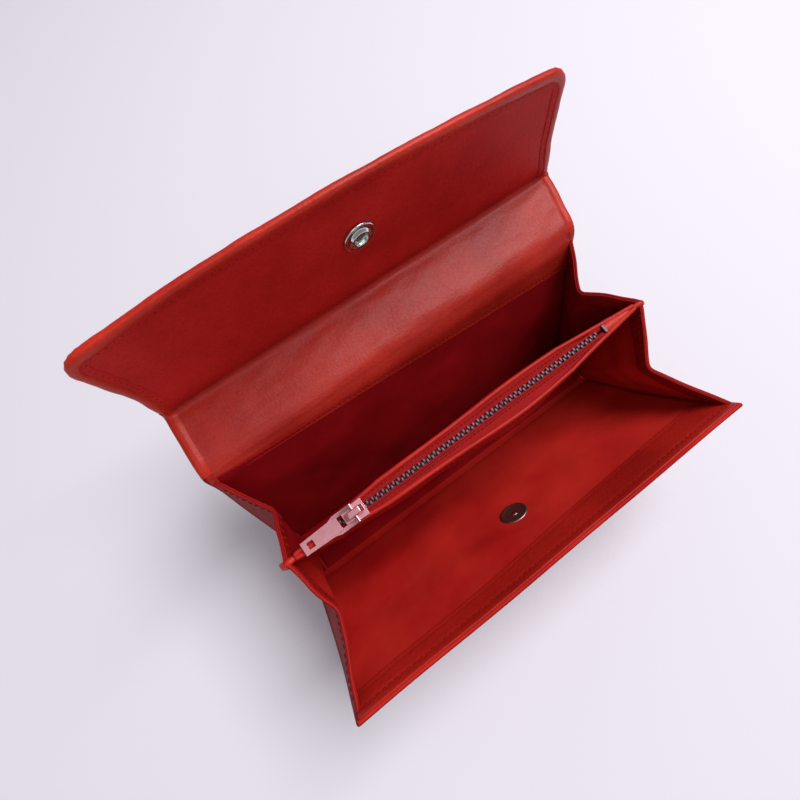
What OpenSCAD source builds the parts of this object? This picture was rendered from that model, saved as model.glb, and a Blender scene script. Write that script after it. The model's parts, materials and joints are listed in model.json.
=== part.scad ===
// Flap purse with a zipped centre pocket, shown standing open on its base.
// Row frame: +X along the width, front panel towards -Y, +Z up, floor at z = 0.
// A lean is an angle from +Z, positive towards +Y. Local frames of the leather
// segments have z along the segment and y across its thickness.

/* [Body] */
// Width of the leather body
purse_w = 185; // [170:1:200]
// Depth of the base between the two panel folds
base_d = 24; // [23:0.5:26]
// Back panel length, base fold to top fold
back_h = 81.5; // [78:0.5:84]
// Front panel length, base fold to top edge
front_h = 89.7; // [86:0.1:90]
// How far the front panel bellies outwards
front_belly = 3; // [2:0.5:3.5]
// Thickness of the shell leather
leather_t = 1.6; // [1.4:0.1:1.8]
// Thickness of the fabric linings
lining_t = 0.5; // [0.4:0.1:0.6]

/* [Opening] */
// Lean of the back panel
back_lean = 14.1; // [10:0.1:16]
// Lean of the divider
divider_lean = -8; // [-9:0.1:-6]
// Lean of the front panel
front_lean = -37.4; // [-40:0.1:-34]
// How far the divider has slipped along the width
divider_shift = 4; // [3:0.5:4]
// Lean of the fold strip above the back panel
strip_lean = 43.6; // [40:0.1:46]
// Lean of the band between the fold strip and the flap crease
band_lean = 73.2; // [68:0.1:76]
// Lean of the flap
flap_lean = -4.6; // [-10:0.1:0]

/* [Flap] */
// Length of the fold strip
strip_l = 4; // [3.6:0.2:5]
// Length of the rear part of the band
band_rear_l = 20.3; // [20:0.1:21]
// Length of the front part of the band
band_front_l = 5.2; // [5:0.1:7]
// Flap length at mid width
flap_l = 61; // [58:1:64]
// How far the free edge bows out at mid width
flap_bow = 7; // [4:0.5:9]
// Radius of the flap's corners
flap_corner_r = 6; // [4:0.5:8]
// Width of the rolled edge
edge_w = 3.4; // [3:0.1:4]

/* [Divider] */
// Height of the divider above its own fold
divider_h = 74; // [72:0.5:75]
// Half thickness of the divider at mid width
divider_half_t = 5.2; // [4.6:0.1:5.4]
// Half thickness of the pinched end tabs
tab_half_t = 1.2; // [1:0.1:1.3]

/* [Zip] */
// Half length of the tooth chain
chain_half_l = 67; // [60:1:68]
// Pitch of the teeth in one row
tooth_pitch = 2.4; // [2.2:0.1:3]
// Place of the closed slider along the width
slider_x = -58.5; // [-60:0.5:-50]
// Length of the puller beyond the bridge
puller_l = 22; // [18:1:24]

/* [Snap] */
// Diameter of the snap's flanges
snap_d = 12.5; // [11:0.5:14]
// Distance from the flap crease to the snap
snap_s = 35; // [33:0.5:36]

/* [Gussets] */
// Distance from mid width to the left gusset's folds, at their tops
fold_x_left = 79.6; // [78:0.1:80]
// Distance from mid width to the right gusset's folds, at their tops
fold_x_right = 79.2; // [78.5:0.1:80]
// Thickness of a gusset wall
gusset_t = 1.2; // [1:0.1:1.3]

/* [Hidden] */
$fn = 48;
half_w = purse_w / 2;
half_t = leather_t / 2;
eps = 0.01;
end_gap = 1.3;          // from a segment's flat end to the next fold axis
fold_trim = 2.2;        // linings stop this far from a fold axis
facing_t = 0.7;
hinge_z = half_t;
divider_z = 3.6;

// Fold axes at rest
function along(a) = [0, sin(a), cos(a)];
function across(a) = [0, cos(a), -sin(a)];
base_front = [0, -base_d / 2, hinge_z];
base_back = [0, base_d / 2, hinge_z];
divider_foot = [divider_shift, 0, divider_z];
strip_foot = base_back + back_h * along(back_lean);
band_foot = strip_foot + strip_l * along(strip_lean);
bend_foot = band_foot + band_rear_l * along(band_lean);
crease = bend_foot + band_front_l * along(band_lean);

// Closed leans of the same segments, used to match the two halves of the snap
closed_back = -1.8;
closed_front = 1.8;
closed_strip = -34.9;
closed_band = -68;
closed_flap = -172.2;
closed_bend_foot = base_back + back_h * along(closed_back)
    + strip_l * along(closed_strip) + band_rear_l * along(closed_band);
closed_snap = closed_bend_foot + (band_front_l + snap_s) * along(closed_flap);
front_snap_s = (closed_snap - base_front) * along(closed_front);

// Outward belly of the front panel, straight between evenly spaced stations
belly_stations = [for (i = [0:14]) [front_h * i / 14, -front_belly * sin(180 * i / 14)]];
function belly(s) = lookup(s, belly_stations);

// Half thickness of the divider along the width
pocket_flat = 45;
pocket_end = 68;
pocket_end_half_t = 3;
tab_x = 84;
function pocket_half(x) =
    abs(x) < pocket_flat ? divider_half_t
    : abs(x) < pocket_end ? divider_half_t
        + (pocket_end_half_t - divider_half_t) * (abs(x) - pocket_flat) / (pocket_end - pocket_flat)
    : abs(x) < tab_x ? pocket_end_half_t
        + (tab_half_t - pocket_end_half_t) * (abs(x) - pocket_end) / (tab_x - pocket_end)
    : tab_half_t;

wall_t = 1.1;
wall_foot = 2;          // the pocket's walls start this far above the divider's fold

// Gusset walls: side axes in panel coordinates
side_x = half_w - 2.5;
side_gap = half_t + lining_t + 1;
tab_side_x = 88;
tab_side_gap = tab_half_t + 0.9;
gusset_low = 14;
fold_clear = 2.8;
panel_fold_h = 73;
back_fold_h = 72;
tab_fold_h = 70;

red = [0.62, 0.09, 0.07];
dark_red = [0.42, 0.04, 0.05];
edge_red = [0.75, 0.16, 0.08];
lining_red = [0.5, 0.05, 0.06];

// Puts a segment drawn upright at the origin onto its fold axis
module place(foot, lean) {
    translate(foot) rotate([-lean, 0, 0]) children();
}

// Carries an outline in (y, z) along the width
module along_x(w) {
    rotate([90, 0, 90]) linear_extrude(height = w, center = true) children();
}

// Flat layer of a segment between two heights and two depths
module layer(w, y0, y1, z0, z1) {
    translate([-w / 2, y0, z0]) cube([w, y1 - y0, z1 - z0]);
}

// Leather segment with a round root on its fold axis
module leather_segment(w, length) {
    rotate([0, 90, 0]) cylinder(r = half_t, h = w, center = true);
    layer(w, -half_t, half_t, 0, length - end_gap);
}

// Layer that follows the front panel's belly
module belly_layer(w, y0, y1, z0, z1) {
    h = concat([z0], [for (p = belly_stations) if (p[0] > z0 + eps && p[0] < z1 - eps) p[0]], [z1]);
    along_x(w) polygon(concat(
        [for (s = h) [belly(s) + y0, s]],
        [for (i = [len(h) - 1:-1:0]) [belly(h[i]) + y1, h[i]]]
    ));
}

module shell_base() {
    color(red) layer(purse_w - 2, -base_d / 2 + half_t + 0.4, base_d / 2 - half_t - 0.4, 0, leather_t);
}

module base_lining() {
    color(lining_red)
        layer(purse_w - 12, -base_d / 2 + 2.4, base_d / 2 - 2.4, leather_t, leather_t + lining_t);
}

// Upright leather foot of a gusset on the base
module gusset_foot(side) {
    foot_x = 85;
    foot_top = 6;
    color(dark_red) translate([side * foot_x - gusset_t / 2, -base_d / 2 + 3.4, leather_t + lining_t])
        cube([gusset_t, base_d - 6.8, foot_top - leather_t - lining_t]);
}

module shell_back() {
    color(red) place(base_back, back_lean) leather_segment(purse_w, back_h);
}

facing_h = 10;

module back_lining() {
    color(lining_red) place(base_back, back_lean)
        layer(purse_w - 7, -half_t - lining_t, -half_t, 3.4, back_h - facing_h);
}

module back_facing() {
    color(red) place(base_back, back_lean)
        layer(purse_w - 7, -half_t - facing_t, -half_t, back_h - facing_h, back_h - fold_trim);
}

// Hole for a snap's shank
shank_r = 1.5;
module shank_hole(s, y) {
    translate([0, y, s]) rotate([90, 0, 0]) cylinder(r = shank_r + 0.05, h = 8, center = true);
}

// Flat seat for a snap flange in the bellied front panel: side is -1 outside, 1 inside
module snap_seat(y, side) {
    translate([0, belly(front_snap_s) + y, front_snap_s]) rotate([-90 * side, 0, 0])
        cylinder(r = snap_d / 2 + 0.1, h = 2);
}

module shell_front() {
    color(red) place(base_front, front_lean) difference() {
        union() {
            rotate([0, 90, 0]) cylinder(r = half_t, h = purse_w, center = true);
            belly_layer(purse_w, -half_t, half_t, 0, front_h);
        }
        shank_hole(front_snap_s, belly(front_snap_s));
        snap_seat(-half_t, -1);
    }
}

hem_h = 13;

module front_lining() {
    color(lining_red) place(base_front, front_lean) difference() {
        belly_layer(purse_w - 7, half_t, half_t + lining_t, 3.4, front_h - hem_h);
        shank_hole(front_snap_s, belly(front_snap_s));
        snap_seat(half_t + lining_t, 1);
    }
}

module front_facing() {
    color(red) place(base_front, front_lean)
        belly_layer(purse_w - 3, half_t, half_t + facing_t, front_h - hem_h, front_h - 0.4);
}

stud_flange_t = 0.6;
stud_knob_h = 1.3;
stud_knob_r = 2.1;

// Ball stud on the front panel's outer face
module snap_stud() {
    color("silver") place(base_front, front_lean)
        translate([0, belly(front_snap_s) - half_t, front_snap_s]) rotate([90, 0, 0])
        rotate_extrude() polygon([
            [0, 0], [snap_d / 2 - 0.6, 0], [snap_d / 2 - 0.4, stud_flange_t * 0.6],
            [snap_d / 2 - 0.9, stud_flange_t], [stud_knob_r - 0.3, stud_flange_t],
            [stud_knob_r - 0.3, stud_flange_t + 0.5], [stud_knob_r, stud_flange_t + 0.9],
            [stud_knob_r - 0.4, stud_flange_t + stud_knob_h], [0, stud_flange_t + stud_knob_h]
        ]);
}

// Rivet disc inside the front panel, with the shank through the leather
module snap_post() {
    post_t = 0.9;
    color("dimgray") place(base_front, front_lean)
        translate([0, belly(front_snap_s) + half_t + lining_t, front_snap_s]) rotate([-90, 0, 0]) {
        rotate_extrude() polygon([
            [0, 0], [snap_d / 2 - 0.3, 0], [snap_d / 2, 0.35], [snap_d / 2 - 0.5, post_t],
            [snap_d / 2 - 1.3, post_t * 0.75], [1.6, post_t * 0.5], [1.2, post_t * 0.25], [0, post_t * 0.25]
        ]);
        translate([0, 0, -leather_t - lining_t]) cylinder(r = shank_r, h = leather_t + lining_t + eps);
    }
}

// Outline of the pocket seen from above, grown or shrunk by d
pocket_xs = [0, 22, pocket_flat, 57, pocket_end, 76, tab_x];
module pocket_plan(d, x_end) {
    xs = [for (x = pocket_xs) if (x < x_end) x];
    right = concat([for (i = [len(xs) - 1:-1:1]) -xs[i]], xs);
    polygon(concat(
        [[-x_end, 0]],
        [[-x_end, pocket_half(x_end) + d]],
        [for (x = right) [x, pocket_half(x) + d]],
        [[x_end, pocket_half(x_end) + d]],
        [[x_end, 0]]
    ));
}

// Pocket wall on one side of the divider: side is -1 at the front, 1 at the back
module pocket_wall(side) {
    color(red) place(divider_foot, divider_lean)
        mirror([0, side > 0 ? 0 : 1, 0]) translate([0, 0, wall_foot])
        linear_extrude(height = divider_h - wall_foot) difference() {
            pocket_plan(0, pocket_end);
            pocket_plan(-wall_t, pocket_end + 1);
        }
}

module pocket_floor() {
    color(dark_red) place(divider_foot, divider_lean) {
        rotate([0, 90, 0]) cylinder(r = 1, h = 2 * pocket_end, center = true);
        layer(2 * pocket_end, -0.6, 0.6, 0, wall_foot);
        translate([0, 0, wall_foot]) linear_extrude(height = 0.8) {
            pocket_plan(-wall_t, pocket_end);
            mirror([0, 1]) pocket_plan(-wall_t, pocket_end);
        }
    }
}

// Fabric bag inside the coin pocket
module pocket_lining() {
    bag_top = divider_h - 6;
    bag_t = 0.5;
    color(lining_red) place(divider_foot, divider_lean) translate([0, 0, wall_foot + 0.8]) difference() {
        linear_extrude(height = bag_top - wall_foot) for (m = [0, 1])
            mirror([0, m]) pocket_plan(-wall_t, pocket_end - 2);
        translate([0, 0, bag_t]) linear_extrude(height = bag_top) for (m = [0, 1])
            mirror([0, m]) pocket_plan(-wall_t - bag_t, pocket_end - 3);
    }
}

tape_t = 0.7;
tape_z = divider_h - 0.7;
slit_half = 0.8;

module zip_tape(side) {
    color(red) place(divider_foot, divider_lean) translate([0, 0, tape_z - tape_t])
        mirror([0, side > 0 ? 0 : 1, 0]) linear_extrude(height = tape_t) difference() {
            pocket_plan(-wall_t, pocket_end);
            translate([-purse_w / 2, -slit_half]) square([purse_w, 2 * slit_half]);
        }
}

tooth_w = 1;
tooth_top = 1.5;

// One row of teeth; the two rows mesh half a pitch apart
module zip_teeth(side) {
    count = floor((2 * chain_half_l - tooth_pitch) / tooth_pitch);
    shift = side > 0 ? tooth_pitch / 2 : 0;
    color("gray") place(divider_foot, divider_lean) for (i = [0:count - 1])
        translate([-chain_half_l + 0.6 + shift + i * tooth_pitch, side > 0 ? -0.35 : -2, tape_z])
            cube([tooth_w, 2.35, tooth_top]);
}

// Stop pressed on each tape at the closed end
module zip_stops_left() {
    color("gray") place(divider_foot, divider_lean) for (side = [-1, 1])
        translate([-chain_half_l - 0.5, side > 0 ? 0.4 : -2, tape_z]) cube([0.9, 1.6, tooth_top]);
}

// Stop across both tapes at the far end
module zip_stop_right() {
    color("gray") place(divider_foot, divider_lean)
        translate([chain_half_l - 0.8, -1.8, tape_z]) cube([1.4, 3.6, tooth_top]);
}

end_low = 9;            // the end pieces and tabs start this far above the divider's fold

// Leather end piece that caps the zip and narrows to the tab
module zip_end(side) {
    color(edge_red) place(divider_foot, divider_lean) mirror([side > 0 ? 0 : 1, 0, 0])
        translate([0, 0, end_low]) linear_extrude(height = divider_h - end_low) polygon([
            [pocket_end, -pocket_end_half_t], [tab_x, -tab_half_t],
            [tab_x, tab_half_t], [pocket_end, pocket_end_half_t]
        ]);
}

// Pinched leather tab where the gusset is stitched to the divider
module divider_tab(side) {
    round_r = 5;
    color(edge_red) place(divider_foot, divider_lean) mirror([side > 0 ? 0 : 1, 0, 0])
        rotate([90, 0, 0]) linear_extrude(height = 2 * tab_half_t, center = true) polygon(concat(
            [[tab_x, divider_h], [tab_x, end_low], [half_w, end_low]],
            [for (a = [0:15:75]) [half_w - round_r * (1 - cos(a)), divider_h - round_r * (1 - sin(a))]]
        ));
}

slider_l = 9;
slider_w = 7;
plate_z = tape_z + tooth_top + 0.3;
plate_t = 0.9;
flange_low = divider_h + 0.1;

// Slider: a waisted top plate with a guide flange down each side
module slider() {
    color("silver") place(divider_foot, divider_lean) translate([slider_x, 0, 0]) {
        translate([0, 0, plate_z]) linear_extrude(height = plate_t) polygon([
            [-slider_l / 2, -slider_w * 0.38], [-1.5, -slider_w * 0.46], [slider_l / 2, -slider_w / 2],
            [slider_l / 2, slider_w / 2], [-1.5, slider_w * 0.46], [-slider_l / 2, slider_w * 0.38]
        ]);
        for (side = [-1, 1]) translate([-slider_l / 2, side > 0 ? 2.4 : -3.1, flange_low])
            cube([slider_l - 1.5, 0.7, plate_z - flange_low + plate_t / 2]);
    }
}

bridge_top = plate_z + plate_t + 4;
bridge_w = 2.6;
pin_z = plate_z + plate_t + 1.1;

// Arch that holds the puller's cross bar on the slider
module slider_bridge() {
    color("silver") place(divider_foot, divider_lean) translate([slider_x, 0, 0]) rotate([90, 0, 0])
        linear_extrude(height = bridge_w, center = true) difference() {
            polygon([
                [-3.9, plate_z + plate_t], [3.9, plate_z + plate_t], [3.7, bridge_top - 1.4],
                [2.4, bridge_top], [-2.4, bridge_top], [-3.7, bridge_top - 1.4]
            ]);
            polygon([
                [-2.7, plate_z + plate_t - eps], [2.7, plate_z + plate_t - eps],
                [2.6, bridge_top - 1.8], [-2.6, bridge_top - 1.8]
            ]);
        }
}

puller_t = 1.2;
puller_w = 7.4;
puller_tip_w = 5.8;
puller_droop = 4;

// Puller: a cross bar, a square loop round the bridge and a tapered plate with a small slot
module puller() {
    color("silver") place(divider_foot, divider_lean)
        translate([slider_x, 0, pin_z]) rotate([0, -puller_droop, 0]) {
        rotate([90, 0, 0]) cylinder(r = 0.7, h = puller_w, center = true);
        translate([0, 0, -puller_t / 2]) linear_extrude(height = puller_t) difference() {
            polygon([
                [0.3, -puller_w / 2], [0.3, puller_w / 2], [-7.6, puller_w / 2],
                [-10, puller_tip_w / 2], [-puller_l, puller_tip_w / 2 - 0.4],
                [-puller_l, -puller_tip_w / 2 + 0.4], [-10, -puller_tip_w / 2], [-7.6, -puller_w / 2]
            ]);
            translate([-6.4, -puller_w / 2 + 1.5]) square([6.4 + 1, puller_w - 3]);
            translate([-puller_l + 2, -1.3]) square([2.6, 2.6]);
        }
    }
}

module fold_strip() {
    color(red) place(strip_foot, strip_lean) leather_segment(purse_w - 1, strip_l);
}

module fold_strip_lining() {
    color(red) place(strip_foot, strip_lean)
        layer(purse_w - 7, -half_t - lining_t, -half_t, 1.3, strip_l - end_gap);
}

module band_rear() {
    color(red) place(band_foot, band_lean) leather_segment(purse_w - 1, band_rear_l);
}

module band_rear_lining() {
    color(red) place(band_foot, band_lean)
        layer(purse_w - 7, -half_t - lining_t, -half_t, 1.5, band_rear_l - fold_trim);
}

module band_front() {
    color(red) place(bend_foot, band_lean) leather_segment(purse_w - 1, band_front_l);
}

module band_front_lining() {
    color(red) place(bend_foot, band_lean)
        layer(purse_w - 7, -half_t - lining_t, -half_t, fold_trim, band_front_l - fold_trim);
}

// Flap outline inset by d: straight sides, round corners and a bowed free edge
module flap_outline(d, z0) {
    bow_r = (half_w * half_w + flap_bow * flap_bow) / (2 * flap_bow);
    w = half_w - d;
    r = max(flap_corner_r - d, 1);
    cx = w - r;
    function edge(x) = flap_l - d - x * x / (2 * bow_r);
    steps = 16;
    polygon(concat(
        [[-w, z0]],
        [for (a = [0:15:75]) [-cx - r * cos(a), edge(cx) - r + r * sin(a)]],
        [for (i = [0:steps]) let (x = cx * (2 * i / steps - 1)) [x, edge(x)]],
        [for (a = [75:-15:0]) [cx + r * cos(a), edge(cx) - r + r * sin(a)]],
        [[w, z0]]
    ));
}

module flap_sheet(d, y0, y1, z0) {
    translate([0, y1, 0]) rotate([90, 0, 0]) linear_extrude(height = y1 - y0) flap_outline(d, z0);
}

flap_in = -0.9;
flap_mid = -0.3;

module flap_leather() {
    color(red) place(crease, flap_lean) difference() {
        union() {
            rotate([0, 90, 0]) cylinder(r = half_t, h = purse_w - 2 * edge_w, center = true);
            flap_sheet(edge_w, flap_mid, half_t, 0);
        }
        shank_hole(snap_s, 0);
    }
}

module flap_lining() {
    color(dark_red) place(crease, flap_lean) difference() {
        flap_sheet(edge_w, flap_in, flap_mid, fold_trim);
        shank_hole(snap_s, 0);
    }
}

// Rolled edge round the free side and both ends of the flap
module flap_edge() {
    color(edge_red) place(crease, flap_lean) difference() {
        flap_sheet(0, -1.3, 1.2, 1.8);
        flap_sheet(edge_w, -2, 2, -1);
    }
}

// Domed cap on the flap's outer face, with the shank through the flap
module snap_cap() {
    cap_h = 1.1;
    color("silver") place(crease, flap_lean) translate([0, half_t, snap_s]) rotate([-90, 0, 0]) {
        rotate_extrude() polygon([
            [0, 0], [snap_d / 2, 0], [snap_d / 2, 0.3],
            [snap_d / 2 - 1.2, cap_h * 0.75], [2, cap_h], [0, cap_h]
        ]);
        translate([0, 0, flap_in - half_t]) cylinder(r = shank_r, h = half_t - flap_in + eps);
    }
}

// Socket on the flap's inner face, with a bore for the stud
module snap_socket() {
    ring_h = 1.6;
    bore_r = 2.6;
    color("silver") place(crease, flap_lean) translate([0, flap_in, snap_s]) rotate([90, 0, 0])
        rotate_extrude() polygon([
            [0, 0], [snap_d / 2 - 0.2, 0], [snap_d / 2, 0.4], [snap_d / 2 - 0.5, 0.9],
            [bore_r + 1.8, 0.6], [bore_r + 0.9, ring_h], [bore_r, ring_h], [bore_r, 0.3], [0, 0.3]
        ]);
}

// Gusset walls. Each half of a gusset is two flat walls that meet in an inward fold.
// Both sides are worked out as the right one (side 1), and the left one (side -1) is mirrored.
function tab_foot(side) = [side * divider_shift, 0, divider_z];
function fold_x(side) = side > 0 ? fold_x_right : fold_x_left;

// A side axis runs up the end of a panel or of the divider; its point at height h
function side_point(foot, lean, x, gap, h) = foot + [x, 0, 0] + gap * across(lean) + h * along(lean);

// Point p in the frame of a side axis: [distance, angle about the axis, height]
function polar(p, foot, lean, x, gap) =
    let (q = p - foot, y = q * across(lean) - gap, dx = q.x - x)
    [norm([dx, y]), atan2(y, dx), q * along(lean)];

// Wall normal at rest, from a side axis and an angle about it
function wall_normal(lean, angle) = [-sin(angle), 0, 0] + cos(angle) * across(lean);

front_edge_h = front_h - 5;
back_edge_h = back_h - 3;
tab_edge_h = divider_h - 3;

// One half of a gusset: panel values, the side of the divider it meets, and its heights
module gusset_half(side, outer, foot, lean, panel_gap, panel_fold_h, edge_h, y0, y1) {
    face = panel_gap > 0 ? -1 : 1;
    tab = tab_foot(side);
    tab_gap = face * tab_side_gap;
    a = side_point(foot, lean, side_x, panel_gap, panel_fold_h);
    b = side_point(tab, divider_lean, tab_side_x, tab_gap, tab_fold_h);
    top = [fold_x(side), (a.y + b.y) / 2, (a.z + b.z) / 2];
    panel_top = polar(top, foot, lean, side_x, panel_gap);
    tab_top = polar(top, tab, divider_lean, tab_side_x, tab_gap);
    fold = cross(wall_normal(lean, panel_top[1]), wall_normal(divider_lean, tab_top[1]));
    low = top + fold * ((gusset_low - top.z) / fold.z);
    mirror([side > 0 ? 0 : 1, 0, 0]) {
        if (outer) wall(foot, lean, side_x, panel_gap, panel_top,
            polar(low, foot, lean, side_x, panel_gap), edge_h, -face, y0, y1);
        if (!outer) wall(tab, divider_lean, tab_side_x, tab_gap, tab_top,
            polar(low, tab, divider_lean, tab_side_x, tab_gap), tab_edge_h, face, y0, y1);
    }
}

// One wall: a plate hung on a side axis. inside is 1 or -1 for the pocket's side, y0 and y1 its depths.
module wall(foot, lean, x, gap, top, low, h_top, inside, y0, y1) {
    place(foot, lean) translate([x, gap, 0]) rotate([0, 0, top[1]])
        mirror([0, inside > 0 ? 0 : 1, 0]) translate([0, y1, 0]) rotate([90, 0, 0])
        linear_extrude(height = y1 - y0) polygon([
            [0, low[2]], [max(low[0] - fold_clear, 1), low[2]], [top[0] - fold_clear, top[2]], [0, h_top]
        ]);
}

module gusset_wall(side, half, outer, y0, y1) {
    if (half == "front")
        gusset_half(side, outer, base_front, front_lean, side_gap, panel_fold_h, front_edge_h, y0, y1);
    if (half == "back")
        gusset_half(side, outer, base_back, back_lean, -side_gap, back_fold_h, back_edge_h, y0, y1);
}

lining_y = gusset_t / 2 - 0.4;

module gusset_leather(side, half, outer) {
    color(dark_red) gusset_wall(side, half, outer, -gusset_t / 2, lining_y);
}

module gusset_lining(side, half, outer) {
    color(lining_red) gusset_wall(side, half, outer, lining_y, gusset_t / 2);
}

shell_base();
base_lining();
gusset_foot(-1);  // gusset_foot_left
gusset_foot(1);  // gusset_foot_right
shell_back();
back_lining();
back_facing();
shell_front();
front_lining();
front_facing();
snap_stud();
snap_post();
pocket_wall(-1);  // pocket_wall_front
pocket_wall(1);  // pocket_wall_back
pocket_floor();
pocket_lining();
zip_tape(-1);  // zip_tape_front
zip_tape(1);  // zip_tape_back
zip_teeth(-1);  // zip_teeth_front
zip_teeth(1);  // zip_teeth_back
zip_stops_left();
zip_stop_right();
zip_end(-1);  // zip_end_left
zip_end(1);  // zip_end_right
divider_tab(-1);  // divider_tab_left
divider_tab(1);  // divider_tab_right
slider();
slider_bridge();
puller();
fold_strip();
fold_strip_lining();
band_rear();
band_rear_lining();
band_front();
band_front_lining();
flap_leather();
flap_lining();
flap_edge();
snap_cap();
snap_socket();
gusset_leather(-1, "front", true);  // gusset_left_front_outer
gusset_leather(-1, "front", false);  // gusset_left_front_inner
gusset_leather(-1, "back", false);  // gusset_left_back_inner
gusset_leather(-1, "back", true);  // gusset_left_back_outer
gusset_leather(1, "front", true);  // gusset_right_front_outer
gusset_leather(1, "front", false);  // gusset_right_front_inner
gusset_leather(1, "back", false);  // gusset_right_back_inner
gusset_leather(1, "back", true);  // gusset_right_back_outer
gusset_lining(-1, "front", true);  // gusset_lining_left_front_outer
gusset_lining(-1, "front", false);  // gusset_lining_left_front_inner
gusset_lining(-1, "back", false);  // gusset_lining_left_back_inner
gusset_lining(-1, "back", true);  // gusset_lining_left_back_outer
gusset_lining(1, "front", true);  // gusset_lining_right_front_outer
gusset_lining(1, "front", false);  // gusset_lining_right_front_inner
gusset_lining(1, "back", false);  // gusset_lining_right_back_inner
gusset_lining(1, "back", true);  // gusset_lining_right_back_outer
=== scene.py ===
import json
import math

import bmesh
import bpy
import numpy as np
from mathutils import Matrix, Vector


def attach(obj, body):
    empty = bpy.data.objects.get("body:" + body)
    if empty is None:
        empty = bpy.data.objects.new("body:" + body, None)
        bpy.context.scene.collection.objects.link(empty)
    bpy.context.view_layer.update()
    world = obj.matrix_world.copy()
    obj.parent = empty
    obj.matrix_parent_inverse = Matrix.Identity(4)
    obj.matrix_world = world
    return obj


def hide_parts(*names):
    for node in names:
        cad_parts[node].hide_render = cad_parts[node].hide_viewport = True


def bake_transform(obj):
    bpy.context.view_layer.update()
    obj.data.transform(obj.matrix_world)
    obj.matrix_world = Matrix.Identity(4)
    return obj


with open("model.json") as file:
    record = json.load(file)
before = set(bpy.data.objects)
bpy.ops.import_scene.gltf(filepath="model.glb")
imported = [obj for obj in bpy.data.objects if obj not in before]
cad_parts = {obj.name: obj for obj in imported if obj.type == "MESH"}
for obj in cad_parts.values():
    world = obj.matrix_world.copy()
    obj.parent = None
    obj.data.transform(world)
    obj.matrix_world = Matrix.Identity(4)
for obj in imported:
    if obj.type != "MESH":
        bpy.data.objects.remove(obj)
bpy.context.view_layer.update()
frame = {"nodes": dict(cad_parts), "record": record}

# A red leather flap purse standing open: shell, flap, gussets, zipped coin pocket and snap.
# Lengths are in millimetres until a mesh is made; +X is the width and the front faces -Y.

X_AXIS = np.array([1.0, 0.0, 0.0])
JOINTS = {j["name"]: j for j in frame["record"]["behaviour"]["joints"]}


def joint_place(name):
    return np.array(JOINTS[name]["pos_m"], float) * 1000


def lean_of(direction):
    """Angle from +Z towards +Y of a direction in the Y-Z plane, in degrees."""
    d = np.array(direction, float)
    d = d if d[2] > 0 else -d
    return math.degrees(math.atan2(d[1], d[2]))


def along(lean):
    return np.array([0, math.sin(math.radians(lean)), math.cos(math.radians(lean))])


def across(lean):
    return np.array([0, math.cos(math.radians(lean)), -math.sin(math.radians(lean))])


class Panel:
    """A flat segment on its fold: x along the width, y across its thickness, z along it."""

    def __init__(self, foot, lean):
        self.foot, self.lean = np.array(foot, float), lean

    def at(self, x, y, z):
        x, y, z = np.broadcast_arrays(x, y, z)
        return (self.foot + x[..., None] * X_AXIS + y[..., None] * across(self.lean)
                + z[..., None] * along(self.lean))


FRONT_FOLD = joint_place("front_panel_fold")
BACK_FOLD = joint_place("back_panel_fold")
STRIP_FOLD = joint_place("top_fold")
BAND_FOLD = joint_place("flap_fold")
CREASE = joint_place("crease_fold")
FRONT_LEAN = lean_of(JOINTS["gusset_right_front_outer_fold"]["axis"])
DIVIDER_LEAN = lean_of(JOINTS["gusset_right_front_inner_fold"]["axis"])
BACK_LEAN = lean_of(STRIP_FOLD - BACK_FOLD)
FLAP_LEAN = -4.6
SHIFT = joint_place("divider_fold")[0]

HALF_W = 92.5
HALF_T = 0.85
FRONT_H = 89.7
FRONT_BELLY = 3.0
FLAP_L = 61.0
FLAP_BOW = 7.0
CREASE_SLIP = 3.4
TIP_SLIP = -5.0
EDGE_INSET = 1.9
EDGE_CORNER = 7.5
FLAP_STITCH_INSET = 4.6
FRONT_STITCH_ROW = 4.0
DIVIDER_H = 74.0
SNAP_FLAP = 35.0
SNAP_FRONT = 52.2

front = Panel(FRONT_FOLD, FRONT_LEAN)
back = Panel(BACK_FOLD, BACK_LEAN)
divider = Panel(joint_place("divider_fold"), DIVIDER_LEAN)
flap = Panel(CREASE, FLAP_LEAN)


# ---------------------------------------------------------------- shapes

def ripple(a, b, seed, size, waves=9):
    """Soft waviness: the scaled sum of plane waves over a and b, each about size long,
    with directions, lengths and phases drawn from the seed."""
    rng = np.random.default_rng(seed)
    turn = rng.uniform(0, 2 * math.pi, waves)
    phase = rng.uniform(0, 2 * math.pi, waves)
    length = size * rng.uniform(0.7, 1.6, waves)
    total = 0
    for t, p, l in zip(turn, phase, length):
        total = total + np.sin((a * math.cos(t) + b * math.sin(t)) * 2 * math.pi / l + p)
    return total / math.sqrt(waves)


def bump(a, centre, width):
    """Bell curve: e to the minus ((a - centre) / width) squared."""
    return np.exp(-((a - centre) / width) ** 2)


def smooth(a, low, high):
    """Smoothstep of a between low and high."""
    t = np.clip((a - low) / (high - low), 0, 1)
    return t * t * (3 - 2 * t)


def lines(low, high, step):
    """Grid stations from low to high about step apart."""
    stations = np.linspace(low, high, max(2, int(round((high - low) / step)) + 1))
    return np.unique(np.round(stations, 3))


def rounded_weights(breaks, params, radius):
    """Weights of a polyline's corners at each parameter: the polyline averaged over a window
    of the given radius, which shrinks towards both ends."""
    breaks = np.array(breaks, float)
    params = np.array(params, float)
    room = np.minimum(params - breaks[0], breaks[-1] - params)
    w = np.minimum(radius, room)
    total = 0
    for k in np.linspace(-1, 1, 17):
        t = params + w * k
        total = total + np.stack([np.interp(t, breaks, row) for row in np.eye(len(breaks))], 1)
    return total / 17


def unit(v):
    return v / np.maximum(np.linalg.norm(v, axis=-1, keepdims=True), 1e-9)


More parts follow.
